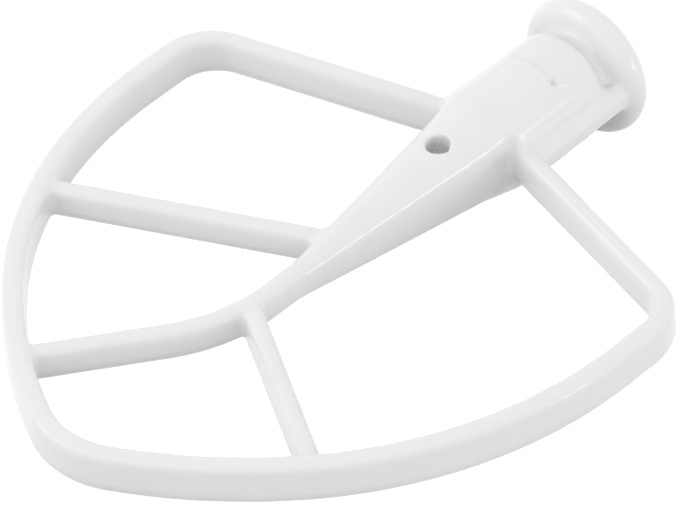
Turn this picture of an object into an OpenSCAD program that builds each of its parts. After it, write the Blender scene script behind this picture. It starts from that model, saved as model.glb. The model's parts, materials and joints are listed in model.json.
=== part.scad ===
// Flat beater for a stand mixer: one die casting under a smooth white coat.
// It lies as it comes to rest, on the tip of its frame and the rim of its collar.
// In the casting's own frame, Y runs along the shaft, Z stands on the frame's flat side,
// and the collar's mouth is at Y = 0, so that every place is a distance back from the mouth.

/* [Frame] */
// Overall width across the frame
frame_w = 133; // [128:1:138]
// Width of the frame's bar, seen on the flat side
bar_w = 5; // [4.6:0.1:5.6]
// Depth of the frame's bar
bar_d = 9.3; // [8.8:0.1:10]
// Distance from the mouth to where the two arms' centrelines meet
arm_drop = 30.6; // [29:0.2:32]
// Angle at which the arms fall away from square
arm_slope = 15.6; // [12:0.2:19]
// Radius of the shoulders between arms and sides, on the centreline
shoulder_r = 10.6; // [8:0.2:13]
// Length of the straight part of each side
side_straight = 8.6; // [4:0.2:12]
// Radius of the upper curve of each side
side_r = 90; // [86:1:94]
// Turn of the upper curve of each side, in degrees
side_turn = 43.5; // [42:0.5:45]
// Radius of the lower curve of each side
flank_r = 113; // [108:1:118]
// Turn of the lower curve of each side, in degrees
flank_turn = 19.5; // [18:0.5:21]

/* [Ribs] */
// Width of the ribs
rib_w = 4.8; // [4.4:0.1:5.2]
// Depth of the ribs
rib_d = 7.6; // [7.2:0.1:8.2]
// Radius of the cast fillets where bars and ribs meet
fillet_r = 1; // [0.6:0.1:1.6]
// Distance from the mouth to the fork, where the straight lower rib leaves the shank's axis
fork_drop = 101; // [98:0.5:104]
// Angle of the straight lower rib below square
lower_rib_slope = 31.7; // [29:0.5:35]
// Distance from the mouth to where the side rib's centreline leaves the shank's axis
side_rib_drop = 76; // [73:0.5:79]
// Angle of the side rib below square
side_rib_slope = 25.5; // [23:0.5:28]
// Distance from the mouth to the start of the curved rib's bend
bend_drop = 95.5; // [93:0.5:98]
// Radius of that bend
bend_r = 36; // [32:1:40]
// Turn of that bend, in degrees
bend_turn = 36.5; // [34:0.5:39]

/* [Shank] */
// Distance from the mouth to the end of the long taper
taper_drop = 41.4; // [40:0.2:43]
// Half width of the shank there, between its flat sides
taper_x = 7.8; // [7.4:0.1:8.2]
// Height of the crease there, where flat side and crown meet
taper_crease = 5.9; // [5.4:0.1:6.4]
// Height of the crown there
taper_crown = 9.4; // [9:0.1:9.8]
// Distance from the mouth to the waist, where the shank has narrowed to a rib's size
waist_drop = 88; // [86:0.5:90]
// Half width of the shank at the waist
waist_x = 2.3; // [2:0.05:2.35]
// Height of the crease at the waist
waist_crease = 2.6; // [2.2:0.1:2.8]
// Height of the crown at the waist
waist_crown = 3.7; // [3.4:0.05:3.75]
// Distance from the mouth to the foot of the neck, level with the arms' roots
root_drop = 35; // [34:0.2:37]
// Height of the crease at the foot of the neck
root_crease = 7.6; // [7:0.1:8]
// Height of the crown at the foot of the neck
root_crown = 10.4; // [10:0.1:11]

/* [Neck and collar] */
// Radius of the neck
neck_r = 11.6; // [11.2:0.1:12]
// Half width of the neck between its flat sides
flat_x = 8.4; // [8.2:0.1:8.8]
// Distance from the mouth to the step where the shank's crown ends
step_drop = 20; // [18:0.2:22]
// Height of that step
step_h = 0.25; // [0.1:0.05:0.4]
// Distance from the mouth to the end of the flat sides
flat_end_drop = 9.4; // [8.6:0.1:11]
// Outer radius of the collar's rim
rim_r = 15.2; // [14.6:0.1:16]
// Thickness of the rim, which is fully rounded
rim_t = 6.1; // [5.4:0.1:6.6]
// Radius of the throat under the rim
throat_r = 9.6; // [9.4:0.1:10.4]
// Radius of the hollow between throat and rim
throat_fillet_r = 2; // [1:0.1:2.2]
// Reach of the web between arm and collar, from the shaft's axis
web_x = 12.9; // [12.4:0.1:13.4]
// Thickness of that web at its root
web_root_t = 2.6; // [2.2:0.1:3.2]
// Thickness of that web at its edge
web_edge_t = 1; // [0.6:0.1:1.4]

/* [Bore] */
// Diameter of the drive shaft
shaft_d = 12.7; // [12.5:0.05:12.9]
// Radial clearance of the shaft in the bore
shaft_gap = 0.1; // [0.05:0.01:0.15]
// Depth of the round bore
bore_l = 34; // [30:0.5:35]
// Radius of the narrowed end past the bore
core_r = 3.6; // [3.2:0.1:4]
// Chamfer at the bore's mouth
mouth_chamfer = 0.8; // [0.4:0.1:1.2]
// Diameter of the drive pin that stands out of the shaft
pin_d = 4; // [3.6:0.1:4.2]
// Clearance round the drive pin
pin_gap = 0.2; // [0.1:0.05:0.3]
// Distance from the shaft's axis to the floor of the pin's slot
slot_reach = 8.8; // [8.4:0.1:9]
// Bearing of the slot, in degrees from the crown
slot_bearing = 40; // [34:1:42]
// Distance from the mouth to the middle of the pin's seat
seat_drop = 18; // [16:0.5:20]
// Turn that locks the pin in its seat, in degrees
lock_turn = 34; // [30:1:38]
// Diameter of the drain hole
drain_d = 5; // [4.4:0.1:5.4]
// Distance from the mouth to the drain hole
drain_drop = 47; // [46:0.2:48]

/* [Hidden] */
$fn = 48;
overrun = 1;

// The bars' section: an upright capsule swept along a thin web
edge_r = 2.05;
core_t = 0.3;
land = 0.3;
blunt_drop = 72;
bar_web = bar_w / 2 - edge_r;
rib_web = rib_w / 2 - edge_r;
edge_steps = 4;
crown_steps = 10;

function ray(a) = [cos(a), sin(a)];
function arc(c, r, a, b, n) = [for (i = [0 : n]) c + r * ray(a + (b - a) * i / n)];
function tail(points) = [for (i = [1 : len(points) - 1]) points[i]];
function backwards(points) = [for (i = [len(points) - 1 : -1 : 0]) points[i]];
function heading(path, i) =
    let (a = path[max(i - 1, 0)], b = path[min(i + 1, len(path) - 1)]) (b - a) / norm(b - a);
function shifted(path, d) =
    [for (i = [0 : len(path) - 1]) let (h = heading(path, i)) path[i] + d * [-h[1], h[0]]];

// Centreline of the frame's right half, from the arms' meeting point round to the tip
side_x = (frame_w - bar_w) / 2;
shoulder_c = [side_x - shoulder_r,
    -arm_drop - (side_x - shoulder_r) * tan(arm_slope) - shoulder_r / cos(arm_slope)];
side_c = [side_x - side_r, shoulder_c[1] - side_straight];
flank_c = side_c + (side_r - flank_r) * ray(-side_turn);
tip_turn = side_turn + flank_turn;
tip_r = flank_r + flank_c[0] / cos(tip_turn);
tip_c = flank_c + (flank_r - tip_r) * ray(-tip_turn);
tip_y = tip_c[1] - tip_r;
right_half = concat(
    arc(shoulder_c, shoulder_r, 90 - arm_slope, 0, 7),
    arc(side_c, side_r, 0, -side_turn, 10),
    tail(arc(flank_c, flank_r, -side_turn, -tip_turn, 4)),
    tail(arc(tip_c, tip_r, -tip_turn, -90, 4)));
left_half = [for (p = backwards(right_half)) [-p[0], p[1]]];
outline = concat([[0, -arm_drop]], right_half, tail(left_half));

// Centrelines of the ribs, each long enough to pass the frame's side
rib_reach = frame_w;
lower_rib = [[0, -fork_drop], [0, -fork_drop] + rib_reach * ray(-lower_rib_slope)];
side_rib = [[0, -side_rib_drop], [0, -side_rib_drop] + rib_reach * ray(180 + side_rib_slope)];
bend = arc([-bend_r, -bend_drop], bend_r, 0, -bend_turn, 6);
curved_rib = concat([[0, -side_rib_drop]], bend,
    [bend[len(bend) - 1] + rib_reach * ray(-90 - bend_turn)]);

// The part lies on the tip's lower edge and the rim: both touch the floor at this tilt
rim_tube = rim_t / 2;
rim_ring = rim_r - rim_tube;
lie_reach = bar_web - rim_tube - tip_y;
lie_rise = rim_ring - bar_d / 2 + edge_r;
rest_tilt = atan2(lie_rise, lie_reach) + asin((rim_tube - edge_r) / norm([lie_rise, lie_reach]));
rest_z = rim_tube * sin(rest_tilt) + rim_ring * cos(rest_tilt) + rim_tube;
rest_back = (tip_y - bar_web) * cos(rest_tilt) - (bar_d / 2 - edge_r) * sin(rest_tilt) - edge_r;
rest_front = -rim_tube * cos(rest_tilt) + rim_ring * sin(rest_tilt) + rim_tube;

// Sections of the shank from waist to step: distance from the mouth, half width, crease, crown
neck_crease = sqrt(neck_r * neck_r - flat_x * flat_x);
shank_stations = [
    [waist_drop, waist_x, waist_crease, waist_crown],
    [taper_drop, taper_x, taper_crease, taper_crown],
    [root_drop, flat_x, root_crease, root_crown],
    [step_drop, flat_x, neck_crease, neck_r + step_h]];

bore_r = shaft_d / 2 + shaft_gap;
slot_w = pin_d + 2 * pin_gap;

// A bar's thin plan: its centreline widened to both sides
module strip(path, half_w) {
    polygon(concat(shifted(path, half_w), backwards(shifted(path, -half_w))));
}

module ring_plan() {
    difference() {
        offset(delta = bar_web) polygon(outline);
        offset(delta = -bar_web) polygon(outline);
    }
}

module rib_plans() {
    strip(lower_rib, rib_web);
    strip(side_rib, rib_web);
    strip(curved_rib, rib_web);
}

// The shank's plan, drawn in from its flat sides down to a blunt end inside the taper
module shank_plan() {
    inset = edge_r + core_t;
    blunt_x = waist_x + (taper_x - waist_x) * (waist_drop - blunt_drop) / (waist_drop - taper_drop);
    half = [
        [flat_x, flat_end_drop], [flat_x, root_drop], [taper_x, taper_drop], [blunt_x, blunt_drop]];
    polygon(concat(
        [for (p = half) [p[0] - inset, -p[1]]],
        [for (p = backwards(half)) [inset - p[0], -p[1]]]));
}

// Ribs and shank out to the frame's centreline, with small fillets in their corners
module inner_plan() {
    reach = fillet_r + edge_r;
    intersection() {
        polygon(outline);
        union() {
            rib_plans();
            difference() {
                offset(r = -reach, $fn = 28) offset(delta = reach) {
                    ring_plan();
                    intersection() {
                        polygon(outline);
                        rib_plans();
                    }
                    shank_plan();
                }
                offset(delta = land) ring_plan();
            }
        }
    }
}

// Half of a bar's section turned about Z: an upright capsule
module capsule(depth) {
    top = (depth - core_t) / 2 - edge_r;
    edge = [for (i = [0 : edge_steps]) [0, top] + edge_r * ray(90 * i / edge_steps)];
    hull() rotate_extrude($fn = 16)
        polygon(concat(backwards([for (p = edge) [p[0], -p[1]]]), edge));
}

// Frame and arms: the thin ring swept by the capsule
module frame() {
    minkowski() {
        linear_extrude(core_t, center = true) ring_plan();
        capsule(bar_d);
    }
}

module ribs() {
    minkowski() {
        linear_extrude(core_t, center = true) inner_plan();
        capsule(rib_d);
    }
}

// One section of the shank: flat sides, with crowns arched from crease to crease
function shank_ring(s) =
    let (
        rise = s[3] - s[2],
        arch_r = (s[1] * s[1] + rise * rise) / (2 * rise),
        lean = asin(s[1] / arch_r),
        crown = arc([0, s[3] - arch_r], arch_r, 90 - lean, 90 + lean, crown_steps))
    [for (p = concat(crown, [for (q = crown) -q])) [p[0], -s[0], p[1]]];

// The shank, lofted through its sections
module shank() {
    sides = 2 * crown_steps + 2;
    rings = len(shank_stations);
    points = [for (s = shank_stations) each shank_ring(s)];
    skin = [for (k = [0 : rings - 2], i = [0 : sides - 1])
        let (a = k * sides + i, b = k * sides + (i + 1) % sides)
        each [[a, b, b + sides], [a, b + sides, a + sides]]];
    near = [for (i = [sides - 1 : -1 : 0]) i];
    far = [for (i = [0 : sides - 1]) (rings - 1) * sides + i];
    polyhedron(points, concat([near], skin, [far]));
}

// Puts shapes built along Z, with Y as the crown's side, along the shaft's axis
module along_shaft() {
    rotate([90, 0, 0]) children();
}

module neck() {
    length = step_drop - flat_end_drop;
    along_shaft() translate([0, 0, flat_end_drop]) intersection() {
        cylinder(h = length, r = neck_r);
        translate([-flat_x, -neck_r, 0]) cube([2 * flat_x, 2 * neck_r, length]);
    }
}

// Rounded rim, hollow and throat in one turned profile
module collar() {
    along_shaft() rotate_extrude() {
        translate([rim_ring, rim_tube]) circle(rim_tube);
        square([rim_ring, rim_t]);
        square([throat_r, flat_end_drop]);
        difference() {
            square([throat_r + throat_fillet_r, rim_t + throat_fillet_r]);
            translate([throat_r + throat_fillet_r, rim_t + throat_fillet_r]) circle(throat_fillet_r);
        }
    }
}

// Thin webs in the parting plane, from the arms' roots to the collar
module side_webs() {
    root_x = throat_r / 2;
    foot = arm_drop + web_x * tan(arm_slope);
    for (side = [-1, 1])
        along_shaft() translate([0, 0, rim_tube]) linear_extrude(foot - rim_tube)
            polygon([
                [side * root_x, web_root_t / 2], [side * web_x, web_edge_t / 2],
                [side * web_x, -web_edge_t / 2], [side * root_x, -web_root_t / 2]]);
}

// Core round the shaft, in one turned profile: chamfered mouth, bore, taper and blunt end
module core() {
    rotate_extrude() polygon([
        [0, -overrun], [bore_r + mouth_chamfer + overrun, -overrun], [bore_r, mouth_chamfer],
        [bore_r, bore_l], [core_r, drain_drop], [core_r / 2, drain_drop + core_r],
        [0, drain_drop + core_r]]);
}

// Slot that the drive pin slides down, and the turn to its seat
module pin_slot() {
    slot_angle = 2 * asin(slot_w / 2 / bore_r);
    rotate([0, 0, 90 - slot_bearing - slot_angle / 2]) {
        translate([0, 0, -overrun])
            rotate_extrude(angle = slot_angle) square([slot_reach, seat_drop + overrun]);
        translate([0, 0, seat_drop - slot_w / 2])
            rotate_extrude(angle = slot_angle + lock_turn) square([slot_reach, slot_w]);
    }
}

module bore() {
    along_shaft() {
        core();
        pin_slot();
    }
    translate([0, -drain_drop, 0]) cylinder(h = neck_r, d = drain_d);
}

module beater() {
    color("whitesmoke")
    translate([0, -(rest_back + rest_front) / 2, rest_z]) rotate([rest_tilt, 0, 0])
        difference() {
            union() {
                frame();
                ribs();
                shank();
                neck();
                collar();
                side_webs();
            }
            bore();
        }
}

beater();
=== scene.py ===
import json
import math

import bmesh
import bpy
from mathutils import Euler, Matrix, Vector


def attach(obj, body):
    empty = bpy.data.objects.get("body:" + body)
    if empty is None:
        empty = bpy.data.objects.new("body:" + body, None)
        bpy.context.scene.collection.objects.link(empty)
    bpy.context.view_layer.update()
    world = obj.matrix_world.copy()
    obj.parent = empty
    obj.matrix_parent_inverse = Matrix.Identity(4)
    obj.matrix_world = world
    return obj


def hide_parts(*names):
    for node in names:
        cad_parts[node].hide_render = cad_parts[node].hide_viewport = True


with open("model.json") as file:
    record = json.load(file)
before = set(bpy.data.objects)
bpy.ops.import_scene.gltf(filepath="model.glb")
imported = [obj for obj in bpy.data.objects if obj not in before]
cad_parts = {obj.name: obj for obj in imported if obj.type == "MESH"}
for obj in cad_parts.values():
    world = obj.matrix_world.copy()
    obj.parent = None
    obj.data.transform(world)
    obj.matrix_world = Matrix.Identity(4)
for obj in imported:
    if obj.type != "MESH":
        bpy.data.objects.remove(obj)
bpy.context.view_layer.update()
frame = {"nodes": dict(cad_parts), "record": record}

bl_info = {
    "name": "Coated Flat Beater",
    "version": (1, 0, 0),
    "blender": (4, 5, 0),
    "location": "View3D > Sidebar > Beater",
    "description": "Dresses a cast flat beater in its white coat and sets it on a pale stage",
    "category": "Object",
}

MM = 0.001
SHAFT = frame["record"]["mounts"][0]
SHAFT_AXIS = Vector(SHAFT["axis"])
# The shaft's mount lies this far inside the mouth
MOUTH_DROP = 17.4 * MM
MOUTH = Vector(SHAFT["pos_m"]) + SHAFT_AXIS * MOUTH_DROP
SHAFT_TURN = Euler((math.atan2(SHAFT_AXIS.z, SHAFT_AXIS.y), 0, 0)).to_matrix().to_4x4()
# The casting's own frame, as its drawing has it: Y along the shaft from the mouth, Z off the flat side
DRAWING = Matrix.Translation(MOUTH) @ SHAFT_TURN

# Frame and ribs on that drawing: centrelines, as distances from the mouth, radii and angles
FRAME_W = 133.0 * MM
ARM_DROP = 30.6 * MM
ARM_SLOPE = math.radians(15.6)
SHOULDER_R = 10.6 * MM
SIDE_STRAIGHT = 8.6 * MM
SIDE_R = 90.0 * MM
SIDE_TURN = math.radians(43.5)
FLANK_R = 113.0 * MM
FLANK_TURN = math.radians(19.5)
FORK_DROP = 101.0 * MM
LOWER_RIB_SLOPE = math.radians(31.7)
LOWER_RIB_L = 47.4 * MM
SIDE_RIB_DROP = 76.0 * MM
SIDE_RIB_SLOPE = math.radians(25.5)
SIDE_RIB_L = 61.8 * MM
BEND_DROP = 95.5 * MM
BEND_R = 36.0 * MM
BEND_TURN = math.radians(36.5)
CURVED_RIB_L = 29.0 * MM
SHOULDER_STEPS, SIDE_STEPS, FLANK_STEPS, TIP_STEPS, BEND_STEPS = 12, 20, 8, 10, 10
CORNER_STEPS = 4

# Bars: how far below the middle their parting line lies, and how round their belly is, as shares, and
# how far the frame's sides draw in below that line
PARTING = 0.24
BELLY = 0.42
SIDE_UNDERCUT = 0.2 * MM

# Cast marks on the neck's crown: the pocket between two distances from the mouth, its lip, a pit and
# a small loop, with their heights in millimetres and with how far each fades
CROWN_X, CROWN_Z = 9 * MM, 6 * MM
POCKET_NEAR, POCKET_FAR, POCKET_HALF_W = 15.3 * MM, 19.8 * MM, 6.0 * MM
POCKET_DEPTH, LIP_HEIGHT, PIT_DEPTH, LOOP_HEIGHT = 0.22, 0.2, 0.9, 0.24
POCKET_NEAR_FADE, POCKET_FAR_FADE = (-1.3 * MM, 0.2 * MM), (0, 0.25 * MM)
POCKET_SIDE_FADE, LIP_SIDE_FADE = (-0.3 * MM, 1.2 * MM), (5.5 * MM, 6.5 * MM)
LIP_GAP, LIP_W = 0.5 * MM, 0.35 * MM
PIT, PIT_R = (5.9 * MM, 19.5 * MM), 0.9 * MM
LOOP, LOOP_R, LOOP_W = (6.7 * MM, 17.0 * MM), (1.0 * MM, 1.5 * MM), 0.3

# Drain hole and bore: distances from the mouth, radii, and the height under which the hole's wall lies
DRAIN_DROP, DRAIN_R, DRAIN_TOP = 47.0 * MM, 2.5 * MM, 8.3 * MM
BORE_DROP, BORE_R = 36.0 * MM, 6.7 * MM

# Shank and neck: distances from the mouth and half widths
WAIST_DROP, WAIST_X = 88.0 * MM, 2.3 * MM
TAPER_DROP, TAPER_X = 41.4 * MM, 7.8 * MM
ROOT_DROP, FLAT_X = 35.0 * MM, 8.4 * MM
FLAT_TOP = 8.0 * MM
NECK_CREASE = (9.9 * MM, 6.0 * MM)
VALLEY, RIDGE = (10.5 * MM, 3.3 * MM), (11.2 * MM, 3.9 * MM)
WEB_TOP, WEB_FLARE = 2.4 * MM, 0.6 * MM
WEB_CREASE_X, WEB_VALLEY_X = 9 * MM, 10 * MM
# Distance from the mouth, half width and height along the crease of shank and neck
CREASE = (
    (10.5 * MM, *NECK_CREASE),
    (ROOT_DROP - 1 * MM, *NECK_CREASE),
    (ROOT_DROP, FLAT_X, 7.6 * MM),
    (TAPER_DROP, TAPER_X, 5.9 * MM),
    (WAIST_DROP, WAIST_X, 2.6 * MM))
NECK_DROP = 19.0 * MM
FLAT_END_DROP = 9.4 * MM
RIM_DROP = 4.0 * MM

# Hollows between the flat sides' ends and the rim, their depth in millimetres, and the radius that
# they stay outside of
HOLLOW_DROP, HOLLOW_L, HOLLOW_DEPTH = 7.9 * MM, 1.2 * MM, 1.8
HOLLOW_SIDE_FADE, HOLLOW_LOW_FADE = (-7 * MM, -5 * MM), (-4.8 * MM, -2.4 * MM)
SLOT_CLEAR_R = 9.3 * MM

# Blends: full strength out to the first distance, and none past the second
END_BLEND, END_BLEND_X = (1.0 * MM, 2.2 * MM), (11 * MM, 12.5 * MM)
ARM_ROOT_X, ARM_ROOT_UP, ROOT_BLEND = 9.5 * MM, 1 * MM, (4.5 * MM, 7.5 * MM)
CREASE_BLEND = (0.9 * MM, 2.2 * MM)

GROUND_R = 3.0
SENSOR_W = 36.0
# Name, bearing and height in degrees seen from the object, distance, width and height in metres,
# power in watts
LAMPS = (
    ("left_panel", 225.0, 30.0, 1.3, 0.8, 0.7, 2.7),
    ("back_panel", 150.0, 35.0, 1.3, 0.8, 0.7, 0.3),
    ("crease_strip", 16.5, 10.0, 1.3, 0.2, 0.2, 1.1),
    ("neck_strip", 31.0, 11.0, 1.3, 0.16, 0.14, 0.3),
)


class BeaterCasting(bpy.types.PropertyGroup):
    """Sizes of the casting's soft skin"""

    grain: bpy.props.FloatProperty(
        name="Skin grain", description="Size of the faces the coated skin is made of",
        default=0.6 * MM, unit="LENGTH")
    soften_passes: bpy.props.IntProperty(
        name="Softening", default=3,
        description="How often the skin is relaxed, as a thick coat rounds every edge")
    blend_passes: bpy.props.IntProperty(
        name="Blending", description="How often the skin is relaxed further in the neck's corners",
        default=22)
    fine_passes: bpy.props.IntProperty(
        name="Fine softening", description="How often the refined skin of the cast marks is relaxed",
        default=8)
    bar_width: bpy.props.FloatProperty(
        name="Frame width", description="Width of the frame's bar at the parting plane",
        default=5.0 * MM, unit="LENGTH")
    bar_depth: bpy.props.FloatProperty(
        name="Frame depth", description="Depth of the frame's bar", default=9.3 * MM, unit="LENGTH")
    rib_width: bpy.props.FloatProperty(
        name="Rib width", description="Width of the ribs at the parting plane",
        default=4.8 * MM, unit="LENGTH")
    rib_depth: bpy.props.FloatProperty(
        name="Rib depth", description="Depth of the ribs", default=7.6 * MM, unit="LENGTH")
    draft: bpy.props.FloatProperty(
        name="Draft", description="How far each side of a bar draws in towards its top",
        default=0.35 * MM, unit="LENGTH")
    undercut: bpy.props.FloatProperty(
        name="Undercut", description="How far arms and ribs draw in below their parting line",
        default=1.0 * MM, unit="LENGTH")
    edge: bpy.props.FloatProperty(
        name="Frame edge", description="Radius of the upper edges of the frame's sides",
        default=1.0 * MM, unit="LENGTH")
    arm_edge: bpy.props.FloatProperty(
        name="Arm edge", description="Radius of the arms' upper edges", default=2.1 * MM, unit="LENGTH")
    rib_edge: bpy.props.FloatProperty(
        name="Rib edge", description="Radius of the ribs' upper edges", default=1.5 * MM, unit="LENGTH")
    web_x: bpy.props.FloatProperty(
        name="Web reach", description="Reach of the webs beside the neck, from the shaft's axis",
        default=13.6 * MM, unit="LENGTH")
    web_edge: bpy.props.FloatProperty(
        name="Web edge", description="Thickness of those webs at their edge",
        default=3.0 * MM, unit="LENGTH")


class BeaterCoat(bpy.types.PropertyGroup):
    """Colour and finish of the white coat"""

    colour: bpy.props.FloatVectorProperty(
        name="Coat colour", description="Colour of the coat", subtype="COLOR", size=4,
        default=(0.80, 0.80, 0.80, 1.0))
    shade: bpy.props.FloatVectorProperty(
        name="Coat shade", description="Colour of the coat where it lies a little thinner",
        subtype="COLOR", size=4, default=(0.77, 0.77, 0.775, 1.0))
    speck: bpy.props.FloatVectorProperty(
        name="Speck colour", description="Colour of the specks caught in the coat",
        subtype="COLOR", size=4, default=(0.34, 0.33, 0.31, 1.0))
    bare_dark: bpy.props.FloatVectorProperty(
        name="Bare casting, dark", description="Darkest grey of the casting in bore and drain hole",
        subtype="COLOR", size=4, default=(0.45, 0.45, 0.45, 1.0))
    bare_light: bpy.props.FloatVectorProperty(
        name="Bare casting, light", description="Lightest grey of the casting in bore and drain hole",
        subtype="COLOR", size=4, default=(1.0, 1.0, 0.99, 1.0))
    roughness: bpy.props.FloatProperty(
        name="Coat roughness", description="Roughness of the coat", default=0.19, min=0, max=1)
    bare_roughness: bpy.props.FloatProperty(
        name="Bare roughness", description="Roughness of the bare casting", default=0.6, min=0, max=1)
    peel: bpy.props.FloatProperty(
        name="Orange peel", description="Strength of the coat's fine waviness",
        default=0.04, min=0, max=1)
    grit: bpy.props.FloatProperty(
        name="Grit", description="Height of the bare casting's grit, against the coat's waves",
        default=20.0)


class BeaterStage(bpy.types.PropertyGroup):
    """Camera and light"""

    azimuth: bpy.props.FloatProperty(
        name="Azimuth", description="Bearing of the camera", default=math.radians(42.91),
        subtype="ANGLE")
    elevation: bpy.props.FloatProperty(
        name="Elevation", description="Height of the camera above the horizon",
        default=math.radians(39.23), subtype="ANGLE")
    roll: bpy.props.FloatProperty(
        name="Roll", description="Turn of the camera about its own axis", default=math.radians(0.47),
        subtype="ANGLE")
    distance: bpy.props.FloatProperty(
        name="Distance", description="Distance from the camera to the point it looks at",
        default=1.340, unit="LENGTH")
    aim: bpy.props.FloatVectorProperty(
        name="Aim", description="Point that the camera looks at", size=3, unit="LENGTH",
        default=(0.0005, 0.0006, 0.0097))
    lens: bpy.props.FloatProperty(
        name="Lens", description="Focal length in millimetres on a 36 mm wide sensor", default=361.7)
    horizon: bpy.props.FloatProperty(
        name="Walls", description="Strength of the white room's walls", default=1.54)
    zenith: bpy.props.FloatProperty(
        name="Ceiling", description="Strength of the white room's ceiling", default=0.66)
    lift: bpy.props.FloatProperty(
        name="Ground lift", description="White that the ground adds to what the camera sees of it",
        default=0.86)


def node(tree, kind, **values):
    """Adds a shader node, with its settings and the values of its own sockets."""
    made = tree.nodes.new(kind)
    for key, value in values.items():
        if hasattr(made, key):
            setattr(made, key, value)
        else:
            made.inputs[key.replace("_", " ")].default_value = value
    return made


def feed(tree, value, socket):
    """Links an output socket to an input, or sets the input to a plain value."""
    if isinstance(value, bpy.types.NodeSocket):
        tree.links.new(value, socket)
    else:
        socket.default_value = value


def reckon(tree, operation, *values):
    """Adds a Math node on numbers or output sockets, and gives back its result."""
    made = node(tree, "ShaderNodeMath", operation=operation)
    for value, socket in zip(values, made.inputs):
        feed(tree, value, socket)
    return made.outputs[0]


def select_only(obj):
    bpy.ops.object.select_all(action="DESELECT")
    obj.select_set(True)
    bpy.context.view_layer.objects.active = obj


def apply_modifier(obj, kind, **settings):
    """Adds one modifier, sets it and applies it."""
    select_only(obj)
    made = obj.modifiers.new(kind.title(), kind)
    for key, value in settings.items():
        setattr(made, key, value)
    bpy.ops.object.modifier_apply(modifier=made.name)


def ray(turn):
    return Vector((math.cos(turn), math.sin(turn), 0))


def arc(centre, radius, start, end, steps):
    return [centre + radius * ray(start + (end - start) * k / steps) for k in range(steps + 1)]


def extrude_through(name, rings):
    """Extrudes one filled outline through the given rings of points, each as long as the first."""
    bpy.ops.object.select_all(action="DESELECT")
    bpy.ops.mesh.primitive_circle_add(vertices=len(rings[0]), radius=1, fill_type="NGON")
    piece = bpy.context.object
    piece.name = name
    for vert, place in zip(piece.data.vertices, rings[0]):
        vert.co = place
    bpy.ops.object.mode_set(mode="EDIT")
    bpy.ops.mesh.select_all(action="SELECT")
    for last, ring in zip(rings, rings[1:]):
        bpy.ops.mesh.extrude_region_move()
        skin = bmesh.from_edit_mesh(piece.data)
        for vert in [v for v in skin.verts if v.select]:
            nearest = min(range(len(last)), key=lambda k: (last[k] - vert.co).length_squared)
            vert.co = ring[nearest]
        bmesh.update_edit_mesh(piece.data)
    bpy.ops.mesh.select_all(action="SELECT")
    bpy.ops.mesh.normals_make_consistent(inside=False)
    bpy.ops.object.mode_set(mode="OBJECT")
    return piece


def bar_section(width, depth, draft, edge, undercut):
    """A bar's section, across and up: drawn in above and below its low parting line, its edges round."""
    parting = -depth * PARTING
    lean = math.atan2(draft, depth / 2 - parting)
    underlean = math.atan2(undercut, parting + depth / 2)
    belly = width * BELLY - undercut
    corners = []
    for across, up, radius, start, end in (
            (width / 2 - draft, depth / 2, edge, lean, math.pi / 2),
            (width / 2 - undercut, -depth / 2, belly, -math.pi / 2, -underlean)):
        centre = Vector((across - radius, up - math.copysign(radius, up)))
        corners.append([centre + radius * Vector((math.cos(a), math.sin(a)))
                        for a in (start + (end - start) * k / CORNER_STEPS
                                  for k in range(CORNER_STEPS + 1))])
    right = corners[1] + [Vector((width / 2, parting))] + corners[0]
    return right + [Vector((-p.x, p.y)) for p in reversed(right)]


def bar(name, path, section_at):
    """Sweeps a section along a path that lies in the parting plane."""
    rings = []
    for k, place in enumerate(path):
        along = (path[min(k + 1, len(path) - 1)] - path[max(k - 1, 0)]).normalized()
        across = Vector((along.y, -along.x, 0))
        rings.append([place + across * p.x + Vector((0, 0, p.y)) for p in section_at(k)])
    return extrude_through(name, rings)


def frame_half(bar_width, side):
    """Centreline of the frame from inside the shank round to the tip, and just past it."""
    side_x = (FRAME_W - bar_width) / 2
    shoulder_x = side_x - SHOULDER_R
    shoulder = Vector((
        shoulder_x, -ARM_DROP - shoulder_x * math.tan(ARM_SLOPE) - SHOULDER_R / math.cos(ARM_SLOPE), 0))
    upper = Vector((side_x - SIDE_R, shoulder.y - SIDE_STRAIGHT, 0))
    lower = upper + (SIDE_R - FLANK_R) * ray(-SIDE_TURN)
    tip_turn = SIDE_TURN + FLANK_TURN
    tip_r = FLANK_R + lower.x / math.cos(tip_turn)
    tip = lower + (FLANK_R - tip_r) * ray(-tip_turn)
    past_tip = math.radians(0.5)
    half = [Vector((0, -ARM_DROP, 0))]
    half += arc(shoulder, SHOULDER_R, math.pi / 2 - ARM_SLOPE, 0, SHOULDER_STEPS)
    half += arc(upper, SIDE_R, 0, -SIDE_TURN, SIDE_STEPS)
    half += arc(lower, FLANK_R, -SIDE_TURN, -tip_turn, FLANK_STEPS)[1:]
    half += arc(tip, tip_r, -tip_turn, -math.pi / 2 - past_tip, TIP_STEPS)[1:]
    return [Vector((side * p.x, p.y, 0)) for p in half]


def rib_paths():
    """Centrelines of the three ribs, each from inside the shank to inside the frame."""
    fork = Vector((0, -FORK_DROP, 0))
    side = Vector((0, -SIDE_RIB_DROP, 0))
    bend = arc(Vector((-BEND_R, -BEND_DROP, 0)), BEND_R, 0, -BEND_TURN, BEND_STEPS)
    return {
        "straight_rib": [fork, fork + LOWER_RIB_L * ray(-LOWER_RIB_SLOPE)],
        "side_rib": [side, side + SIDE_RIB_L * ray(math.pi + SIDE_RIB_SLOPE)],
        "curved_rib": [side] + bend + [bend[-1] + CURVED_RIB_L * ray(-math.pi / 2 - BEND_TURN)],
    }


def level_ring(outline, drop):
    """A ring of (across, up) points at one distance from the mouth."""
    return [Vector((x, -drop, z)) for x, z in outline]


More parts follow.
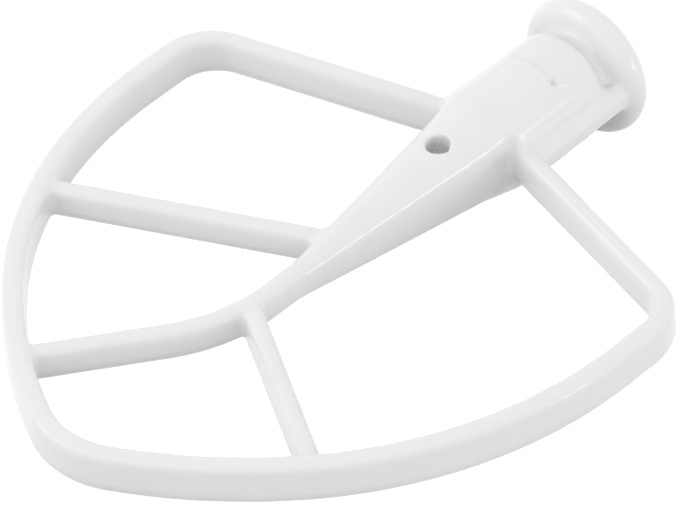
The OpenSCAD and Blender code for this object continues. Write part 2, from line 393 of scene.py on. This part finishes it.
def web(name, side, web_x, web_edge):
    """The web beside the neck: a drafted wedge from the crown's crease out to a blunt edge."""
    inner = FLAT_X - 0.5 * MM
    foot = ARM_DROP + web_x * math.tan(ARM_SLOPE)

    def section(crease, valley, ridge, grow):
        crown = min(crease[1] + FLAT_TOP - NECK_CREASE[1], FLAT_TOP)
        outer = (web_x + grow, web_edge / 2)
        upper = [(inner, crown), (FLAT_X, crown), crease, valley, ridge, outer]
        right = upper + [(x, -z) for x, z in reversed(upper)]
        return [(side * x, z) for x, z in right]

    neck = extrude_through(name + "_neck", [
        level_ring(section(NECK_CREASE, VALLEY, RIDGE, 0), FLAT_END_DROP),
        level_ring(section(NECK_CREASE, VALLEY, RIDGE, WEB_FLARE), foot)])
    rim = [(x, WEB_TOP) for x in (WEB_CREASE_X, WEB_VALLEY_X, web_x - WEB_TOP / 2)]
    collar = extrude_through(name + "_collar", [
        level_ring(section(*rim, 0), RIM_DROP),
        level_ring(section((WEB_CREASE_X, VALLEY[1]), VALLEY, RIDGE, 0), FLAT_END_DROP)])
    return [neck, collar]


def fade(value, start, end):
    """1 at start, falling to 0 at end."""
    return min(max((end - value) / (end - start), 0), 1)


def shank_crease(drop):
    """Half width and height of the shank's crease at a distance from the mouth."""
    for (near, near_x, near_z), (far, far_x, far_z) in zip(CREASE, CREASE[1:]):
        if near <= drop <= far:
            part = (drop - near) / (far - near)
            return near_x + part * (far_x - near_x), near_z + part * (far_z - near_z)
    return None


def blend_weight(across, drop, up):
    """How much more the skin is relaxed: at the neck's end, along its creases and at the arms' roots."""
    neck_end = fade(abs(drop - FLAT_END_DROP), *END_BLEND) * fade(across, *END_BLEND_X)
    root = math.hypot(across - ARM_ROOT_X, drop - ROOT_DROP + ARM_ROOT_UP)
    arm_root = fade(root, *ROOT_BLEND)
    crease = 0
    line = shank_crease(drop)
    if line:
        crease = fade(math.hypot(across - line[0], up - line[1]), *CREASE_BLEND)
    return max(neck_end, arm_root, crease)


def crown_relief(across, drop):
    """Height of the cast marks on the neck's crown: a shallow pocket, its lip, a pit and a small loop."""
    def bell(value, width):
        return math.exp(-(value / width) ** 2)

    pocket = (fade(POCKET_NEAR - drop, *POCKET_NEAR_FADE) * fade(drop - POCKET_FAR, *POCKET_FAR_FADE)
              * fade(abs(across) - POCKET_HALF_W, *POCKET_SIDE_FADE))
    lip = bell(drop - POCKET_FAR - LIP_GAP, LIP_W) * fade(abs(across), *LIP_SIDE_FADE)
    pit = bell(math.hypot(across - PIT[0], drop - PIT[1]), PIT_R)
    loop_across, loop_along = (across - LOOP[0]) / LOOP_R[0], (drop - LOOP[1]) / LOOP_R[1]
    loop = bell(math.hypot(loop_across, loop_along) - 1, LOOP_W)
    return (-POCKET_DEPTH * pocket + LIP_HEIGHT * lip - PIT_DEPTH * pit + LOOP_HEIGHT * loop) * MM


def throat_hollow(across, drop, up):
    """Depth of the hollows beside the crown at the rim, which stay clear of the pin's slot."""
    if not RIM_DROP < drop < FLAT_END_DROP + 1 * MM:
        return 0
    wall = math.hypot(across, up) - SLOT_CLEAR_R
    if wall <= 0:
        return 0
    beside_crown = fade(-abs(across), *HOLLOW_SIDE_FADE) * fade(-abs(up), *HOLLOW_LOW_FADE)
    hollow = beside_crown * HOLLOW_DEPTH * MM * math.exp(-((drop - HOLLOW_DROP) / HOLLOW_L) ** 2)
    return hollow * wall / (hollow + wall)


def keep_block():
    """Block that the shank, neck and collar lie in, and the bars don't."""
    play = 0.03 * MM
    wide, past_mouth, high = 17 * MM, 2 * MM, 20 * MM
    plan = [(wide, -past_mouth), (wide, NECK_DROP), (FLAT_X + play, NECK_DROP),
            (FLAT_X + play, ROOT_DROP), (TAPER_X + play, TAPER_DROP), (WAIST_X + play, WAIST_DROP)]
    ring = [(x, -drop) for x, drop in plan] + [(-x, -drop) for x, drop in reversed(plan)]
    return extrude_through("keep_block", [
        [Vector((x, y, z)) for x, y in ring] for z in (-high, high)])


def place_on_drawing(piece):
    """Puts a piece made in the casting's own frame in its place in the scene, and applies that place."""
    piece.matrix_world = DRAWING
    select_only(piece)
    bpy.ops.object.transform_apply(location=True, rotation=True, scale=True)


def peel_group():
    """Waviness of a sprayed and baked coat, as a height, and where the coat lies thinner."""
    group = bpy.data.node_groups.new("coat_waves", "ShaderNodeTree")
    group.interface.new_socket("Fine", in_out="INPUT", socket_type="NodeSocketFloat")
    group.interface.new_socket("Height", in_out="OUTPUT", socket_type="NodeSocketFloat")
    group.interface.new_socket("Thin", in_out="OUTPUT", socket_type="NodeSocketFloat")
    ins = group.nodes.new("NodeGroupInput")
    outs = group.nodes.new("NodeGroupOutput")
    place = group.nodes.new("ShaderNodeTexCoord")
    fine = node(group, "ShaderNodeTexNoise", Scale=900.0, Detail=2.0)
    broad = node(group, "ShaderNodeTexNoise", Scale=90.0, Detail=1.0)
    links = group.links
    links.new(place.outputs["Object"], fine.inputs["Vector"])
    links.new(place.outputs["Object"], broad.inputs["Vector"])
    weighed = reckon(group, "MULTIPLY", fine.outputs["Fac"], ins.outputs["Fine"])
    links.new(reckon(group, "ADD", weighed, broad.outputs["Fac"]), outs.inputs["Height"])
    links.new(broad.outputs["Fac"], outs.inputs["Thin"])
    return group


def inside_group():
    """Where the casting is bare, in its bore and its drain hole, and the grit of bare casting."""
    group = bpy.data.node_groups.new("inner_faces", "ShaderNodeTree")
    group.interface.new_socket("Bore radius", in_out="INPUT", socket_type="NodeSocketFloat")
    group.interface.new_socket("Drain radius", in_out="INPUT", socket_type="NodeSocketFloat")
    group.interface.new_socket("Mask", in_out="OUTPUT", socket_type="NodeSocketFloat")
    group.interface.new_socket("Grit", in_out="OUTPUT", socket_type="NodeSocketFloat")
    ins = group.nodes.new("NodeGroupInput")
    outs = group.nodes.new("NodeGroupOutput")
    links = group.links
    place = group.nodes.new("ShaderNodeTexCoord")
    drawing = node(group, "ShaderNodeMapping", vector_type="TEXTURE")
    drawing.inputs["Location"].default_value = MOUTH
    drawing.inputs["Rotation"].default_value = SHAFT_TURN.to_euler()
    links.new(place.outputs["Object"], drawing.inputs["Vector"])
    parts = node(group, "ShaderNodeSeparateXYZ")
    links.new(drawing.outputs[0], parts.inputs[0])

    def near_axis(centre, square_to_it, radius):
        """1 within a radius of the axis that runs through centre."""
        away = node(group, "ShaderNodeVectorMath", operation="SUBTRACT")
        across = node(group, "ShaderNodeVectorMath", operation="MULTIPLY")
        length = node(group, "ShaderNodeVectorMath", operation="LENGTH")
        away.inputs[1].default_value = centre
        across.inputs[1].default_value = square_to_it
        links.new(drawing.outputs[0], away.inputs[0])
        links.new(away.outputs[0], across.inputs[0])
        links.new(across.outputs[0], length.inputs[0])
        return reckon(group, "LESS_THAN", length.outputs["Value"], ins.outputs[radius])

    near_mouth = reckon(group, "GREATER_THAN", parts.outputs["Y"], -BORE_DROP)
    bore = reckon(group, "MULTIPLY", near_axis((0, 0, 0), (1, 0, 1), "Bore radius"), near_mouth)
    below_crown = reckon(group, "LESS_THAN", parts.outputs["Z"], DRAIN_TOP)
    above_axis = reckon(group, "GREATER_THAN", parts.outputs["Z"], 0.0)
    drain = near_axis((0, -DRAIN_DROP, 0), (1, 1, 0), "Drain radius")
    drain = reckon(group, "MULTIPLY", drain, reckon(group, "MULTIPLY", below_crown, above_axis))
    links.new(reckon(group, "MAXIMUM", drain, bore), outs.inputs["Mask"])
    grit = node(group, "ShaderNodeTexNoise", Scale=2200.0, Detail=2.0)
    links.new(place.outputs["Object"], grit.inputs["Vector"])
    links.new(grit.outputs["Fac"], outs.inputs["Grit"])
    return group


def specks_group():
    """Sparse dark specks caught in the coat."""
    group = bpy.data.node_groups.new("coat_specks", "ShaderNodeTree")
    group.interface.new_socket("Size", in_out="INPUT", socket_type="NodeSocketFloat")
    group.interface.new_socket("Rarity", in_out="INPUT", socket_type="NodeSocketFloat")
    group.interface.new_socket("Mask", in_out="OUTPUT", socket_type="NodeSocketFloat")
    ins = group.nodes.new("NodeGroupInput")
    outs = group.nodes.new("NodeGroupOutput")
    place = group.nodes.new("ShaderNodeTexCoord")
    spots = node(group, "ShaderNodeTexVoronoi", Scale=75.0)
    chance = node(group, "ShaderNodeSeparateColor")
    links = group.links
    links.new(place.outputs["Object"], spots.inputs["Vector"])
    links.new(spots.outputs["Color"], chance.inputs[0])
    small = reckon(group, "LESS_THAN", spots.outputs["Distance"], ins.outputs["Size"])
    few = reckon(group, "GREATER_THAN", chance.outputs[0], ins.outputs["Rarity"])
    links.new(reckon(group, "MULTIPLY", small, few), outs.inputs["Mask"])
    return group


def colour_mix(tree, mask, under, over):
    """Mixes two colours by a mask; each is a colour or an output socket."""
    mixed = tree.nodes.new("ShaderNodeMix")
    mixed.data_type = "RGBA"
    tree.links.new(mask, mixed.inputs["Factor"])
    feed(tree, under, mixed.inputs["A"])
    feed(tree, over, mixed.inputs["B"])
    return mixed.outputs["Result"]


def coat_material():
    """White baked coat outside, and rough bare casting in the bore and the drain hole."""
    coat = bpy.context.scene.beater_coat
    made = bpy.data.materials.new("white_coat")
    made.use_nodes = True
    tree = made.node_tree
    shader = tree.nodes["Principled BSDF"]
    waves = node(tree, "ShaderNodeGroup", node_tree=peel_group())
    waves.inputs["Fine"].default_value = 0.25
    inside = node(tree, "ShaderNodeGroup", node_tree=inside_group())
    inside.inputs["Bore radius"].default_value = BORE_R
    inside.inputs["Drain radius"].default_value = DRAIN_R + 0.15 * MM
    specks = node(tree, "ShaderNodeGroup", node_tree=specks_group())
    specks.inputs["Size"].default_value = 0.022
    specks.inputs["Rarity"].default_value = 0.75
    tint = colour_mix(tree, waves.outputs["Thin"], coat.shade, coat.colour)
    speckled = colour_mix(tree, specks.outputs["Mask"], tint, coat.speck)
    bare = colour_mix(tree, inside.outputs["Grit"], coat.bare_dark, coat.bare_light)
    links = tree.links
    links.new(colour_mix(tree, inside.outputs["Mask"], speckled, bare), shader.inputs["Base Color"])
    rough = node(tree, "ShaderNodeMapRange")
    rough.inputs["To Min"].default_value = coat.roughness
    rough.inputs["To Max"].default_value = coat.bare_roughness
    links.new(inside.outputs["Mask"], rough.inputs["Value"])
    links.new(rough.outputs["Result"], shader.inputs["Roughness"])
    grit = reckon(tree, "MULTIPLY", inside.outputs["Grit"], inside.outputs["Mask"])
    height = reckon(tree, "MULTIPLY_ADD", grit, coat.grit, waves.outputs["Height"])
    bump = node(tree, "ShaderNodeBump", Strength=coat.peel, Distance=0.2 * MM)
    links.new(height, bump.inputs["Height"])
    links.new(bump.outputs["Normal"], shader.inputs["Normal"])
    return made


def seen_directly(tree):
    """1 for rays from the camera, off a glossy face or through a clear one, and 0 for others."""
    path = tree.nodes.new("ShaderNodeLightPath")
    seen = path.outputs["Is Camera Ray"]
    for kind in ("Is Glossy Ray", "Is Transmission Ray"):
        seen = reckon(tree, "MAXIMUM", seen, path.outputs[kind])
    return seen


def stage_material():
    """White ground: it takes soft shadows, and the camera sees it near white."""
    made = bpy.data.materials.new("white_ground")
    made.use_nodes = True
    tree = made.node_tree
    tree.nodes.clear()
    out = tree.nodes.new("ShaderNodeOutputMaterial")
    cloth = tree.nodes.new("ShaderNodeBsdfDiffuse")
    glow = tree.nodes.new("ShaderNodeEmission")
    add = tree.nodes.new("ShaderNodeAddShader")
    seen = seen_directly(tree)
    shade = colour_mix(tree, seen, (0.5, 0.5, 0.5, 1), (0.3, 0.3, 0.3, 1))
    links = tree.links
    links.new(shade, cloth.inputs["Color"])
    links.new(reckon(tree, "MULTIPLY", seen, bpy.context.scene.beater_stage.lift), glow.inputs["Strength"])
    links.new(cloth.outputs[0], add.inputs[0])
    links.new(glow.outputs[0], add.inputs[1])
    links.new(add.outputs[0], out.inputs["Surface"])
    return made


class BEATER_OT_casting(bpy.types.Operator):
    """Makes the coated casting from the frame's solid"""

    bl_idname = "beater.casting"
    bl_label = "Coated casting"

    def execute(self, context):
        sizes = context.scene.beater_casting
        casting = self.trunk(context)
        for part in self.bars(sizes):
            part.select_set(True)
        casting.select_set(True)
        context.view_layer.objects.active = casting
        bpy.ops.object.join()
        apply_modifier(casting, "REMESH", mode="VOXEL", voxel_size=sizes.grain)
        apply_modifier(casting, "SMOOTH", factor=0.5, iterations=sizes.soften_passes)
        self.blend(casting, sizes)
        self.cast_marks(casting, sizes)
        select_only(casting)
        bpy.ops.object.shade_smooth()
        casting.data.materials.clear()
        casting.data.materials.append(coat_material())
        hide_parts("beater")
        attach(casting, "root")
        return {"FINISHED"}

    def blend(self, casting, sizes):
        """Relaxes the skin further where thick coat fills the corners of neck and arms."""
        group = casting.vertex_groups.new(name="blends")
        to_drawing = DRAWING.inverted()
        for vert in casting.data.vertices:
            place = to_drawing @ vert.co
            weight = blend_weight(abs(place.x), -place.y, abs(place.z))
            if weight > 0:
                group.add([vert.index], weight, "REPLACE")
        apply_modifier(casting, "SMOOTH", factor=0.5, iterations=sizes.blend_passes,
                       vertex_group="blends")
        casting.vertex_groups.clear()

    def cast_marks(self, casting, sizes):
        """Refines the skin on the crown and round the drain hole, and raises and sinks the marks."""
        to_drawing = DRAWING.inverted()
        select_only(casting)
        bpy.ops.object.mode_set(mode="EDIT")
        bpy.ops.mesh.select_mode(type="FACE")
        bpy.ops.mesh.select_all(action="DESELECT")
        skin = bmesh.from_edit_mesh(casting.data)
        for face in skin.faces:
            place = to_drawing @ face.calc_center_median()
            drop = -place.y
            on_crown = abs(place.x) < CROWN_X and place.z > CROWN_Z
            on_neck = on_crown and POCKET_NEAR - 2 * MM < drop < POCKET_FAR + 2 * MM
            round_drain = math.hypot(place.x, drop - DRAIN_DROP) < DRAIN_R + 1.5 * MM
            face.select = on_neck or (round_drain and place.z > CROWN_Z + 0.5 * MM)
        bmesh.update_edit_mesh(casting.data)
        bpy.ops.mesh.subdivide(number_cuts=3, smoothness=0)
        bpy.ops.mesh.vertices_smooth(factor=0.5, repeat=sizes.fine_passes)
        bpy.ops.object.mode_set(mode="OBJECT")
        upwards = DRAWING.to_3x3()
        for vert in casting.data.vertices:
            place = to_drawing @ vert.co
            drop = -place.y
            outwards = upwards @ Vector((place.x, 0, place.z)).normalized()
            vert.co -= outwards * throat_hollow(place.x, drop, place.z)
            if place.z > CROWN_Z and POCKET_NEAR - 1.5 * MM < drop < POCKET_FAR + 1.5 * MM:
                vert.co += outwards * crown_relief(place.x, drop)

    def trunk(self, context):
        """Shank, neck, collar and bore, cut out of a copy of the solid."""
        solid = frame["nodes"]["beater"]
        casting = solid.copy()
        casting.data = solid.data.copy()
        casting.name = "coated_casting"
        context.collection.objects.link(casting)
        select_only(casting)
        bpy.ops.object.mode_set(mode="EDIT")
        bpy.ops.mesh.select_all(action="SELECT")
        bpy.ops.mesh.remove_doubles(threshold=0.001 * MM)
        bpy.ops.object.mode_set(mode="OBJECT")
        block = keep_block()
        place_on_drawing(block)
        apply_modifier(casting, "BOOLEAN", operation="INTERSECT", solver="EXACT", object=block)
        bpy.data.objects.remove(block)
        return casting

    def bars(self, sizes):
        """Frame, ribs and webs."""
        def arm_then_side(k):
            """The arms are rounder than the frame's sides, and the shoulders pass from one to the other."""
            part = min(max(k - 1, 0) / SHOULDER_STEPS, 1)
            edge = sizes.arm_edge + part * (sizes.edge - sizes.arm_edge)
            undercut = sizes.undercut * (1 - part) + SIDE_UNDERCUT * part
            return bar_section(sizes.bar_width, sizes.bar_depth, sizes.draft, edge, undercut)

        def rib(_):
            return bar_section(sizes.rib_width, sizes.rib_depth, sizes.draft, sizes.rib_edge,
                               sizes.undercut)

        made = [bar(name, path, rib) for name, path in rib_paths().items()]
        for name, side in (("right", 1), ("left", -1)):
            made.append(bar(name + "_frame", frame_half(sizes.bar_width, side), arm_then_side))
            made += web(name + "_web", side, sizes.web_x, sizes.web_edge)
        for part in made:
            place_on_drawing(part)
        return made


class BEATER_OT_stage(bpy.types.Operator):
    """Sets the ground, the camera and the light"""

    bl_idname = "beater.stage"
    bl_label = "Stage"

    def execute(self, context):
        self.ground()
        self.camera(context)
        self.light(context)
        return {"FINISHED"}

    def ground(self):
        bpy.ops.object.select_all(action="DESELECT")
        bpy.ops.mesh.primitive_circle_add(vertices=96, radius=GROUND_R, fill_type="NGON")
        ground = bpy.context.object
        ground.name = "ground"
        ground.data.materials.append(stage_material())

    def camera(self, context):
        view = context.scene.beater_stage
        turn = (Matrix.Rotation(view.azimuth, 4, "Z")
                @ Matrix.Rotation(math.pi / 2 - view.elevation, 4, "X")
                @ Matrix.Rotation(view.roll, 4, "Z"))
        lens = bpy.data.cameras.new("view")
        lens.lens = view.lens
        lens.sensor_width = SENSOR_W
        lens.clip_end = 20.0
        camera = bpy.data.objects.new("view", lens)
        camera.matrix_world = (Matrix.Translation(Vector(view.aim)) @ turn
                               @ Matrix.Translation((0, 0, view.distance)))
        context.collection.objects.link(camera)
        context.scene.camera = camera

    def light(self, context):
        scene = context.scene
        world = bpy.data.worlds.new("white_room")
        scene.world = world
        world.use_nodes = True
        tree = world.node_tree
        tree.nodes.clear()
        links = tree.links
        out = tree.nodes.new("ShaderNodeOutputWorld")
        room = node(tree, "ShaderNodeBackground", Color=(1, 1, 1, 1))
        place = tree.nodes.new("ShaderNodeTexCoord")
        split = tree.nodes.new("ShaderNodeSeparateXYZ")
        rise = tree.nodes.new("ShaderNodeMapRange")
        rise.inputs["To Min"].default_value = scene.beater_stage.horizon
        rise.inputs["To Max"].default_value = scene.beater_stage.zenith
        links.new(place.outputs["Generated"], split.inputs[0])
        links.new(split.outputs["Z"], rise.inputs["Value"])
        links.new(rise.outputs["Result"], room.inputs["Strength"])
        seen_room = node(tree, "ShaderNodeBackground", Color=(1, 1, 1, 1))
        mix = tree.nodes.new("ShaderNodeMixShader")
        links.new(seen_directly(tree), mix.inputs[0])
        links.new(room.outputs[0], mix.inputs[1])
        links.new(seen_room.outputs[0], mix.inputs[2])
        links.new(mix.outputs[0], out.inputs["Surface"])
        for name, bearing, height, away, wide, tall, power in LAMPS:
            data = bpy.data.lights.new(name, "AREA")
            data.shape = "RECTANGLE"
            data.size, data.size_y = wide, tall
            data.energy = power
            lamp = bpy.data.objects.new(name, data)
            toward = Vector((1, 0, 0))
            toward.rotate(Euler((0, -math.radians(height), math.radians(bearing))))
            lamp.matrix_world = (Matrix.Translation(toward * away)
                                 @ toward.to_track_quat("Z", "Y").to_matrix().to_4x4())
            context.collection.objects.link(lamp)
        scene.view_settings.view_transform = "Standard"


class BEATER_PT_panel(bpy.types.Panel):
    """Lists the steps in the sidebar"""

    bl_label = "Flat beater"
    bl_space_type = "VIEW_3D"
    bl_region_type = "UI"
    bl_category = "Beater"

    def draw(self, context):
        for step in ("beater.casting", "beater.stage"):
            self.layout.operator(step)


GROUPS = (("beater_casting", BeaterCasting), ("beater_coat", BeaterCoat), ("beater_stage", BeaterStage))
CLASSES = (BEATER_OT_casting, BEATER_OT_stage, BEATER_PT_panel)


def register():
    for name, group in GROUPS:
        bpy.utils.register_class(group)
        setattr(bpy.types.Scene, name, bpy.props.PointerProperty(type=group))
    for made in CLASSES:
        bpy.utils.register_class(made)


def unregister():
    for made in reversed(CLASSES):
        bpy.utils.unregister_class(made)
    for name, group in reversed(GROUPS):
        delattr(bpy.types.Scene, name)
        bpy.utils.unregister_class(group)


def main():
    register()
    bpy.ops.beater.casting()
    bpy.ops.beater.stage()


if __name__ == "__main__":
    main()
